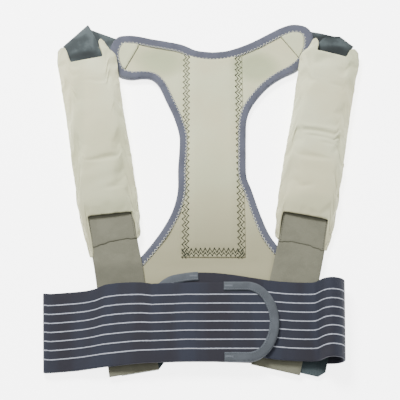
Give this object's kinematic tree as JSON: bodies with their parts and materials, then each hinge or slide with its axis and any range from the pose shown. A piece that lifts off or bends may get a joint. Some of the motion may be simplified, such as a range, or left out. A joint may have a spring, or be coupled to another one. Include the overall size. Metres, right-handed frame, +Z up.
{
  "type": "posture corrector",
  "caption": "Upper-back posture brace lying closed: shaped back panel with a stitched spine channel, padded shoulder sleeves, webbing straps and a striped elastic waist belt.",
  "frame": {"origin": "centre of the bounding box, on the surface that the brace lies on", "axes": "+X across the back towards the belt's open curl, +Y from the belt up to the shoulders, +Z up from the surface, out of the side that faces away from the wearer"},
  "size_m": [0.3482, 0.4264, 0.027],
  "materials": {
    "pale_cloth": "matt pale green-beige laminated knit with a fine mesh",
    "pad_cloth": "matt pale green-beige padded knit, soft and slightly wrinkled",
    "edge_tape": "woven grey-purple binding tape with zigzag stitching",
    "dark_elastic": "dark grey ribbed woven elastic",
    "grey_webbing": "brownish grey ribbed woven elastic webbing",
    "hook_plastic": "dark blue-green hook fastener tab, slight sheen",
    "belt_elastic": "dark blue-grey woven elastic with seven pale lengthwise stripes",
    "belt_trim": "grey woven edging tape"
  },
  "bodies": {
    "root": {"back_panel": "pale_cloth", "armhole_binding_right": "edge_tape", "neck_binding": "edge_tape", "armhole_binding_left": "edge_tape", "spine_channel": "pale_cloth", "shoulder_patch_left": "pale_cloth", "shoulder_patch_right": "pale_cloth", "shoulder_elastic_left": "dark_elastic", "pad_sleeve_left": "pad_cloth", "webbing_left": "grey_webbing", "hook_tab_left": "hook_plastic", "shoulder_elastic_right": "dark_elastic", "pad_sleeve_right": "pad_cloth", "webbing_right": "grey_webbing", "hook_tab_right": "hook_plastic", "waist_belt": "belt_elastic", "belt_trim_left": "belt_trim", "belt_trim_right": "belt_trim"}
  },
  "joints": []
}
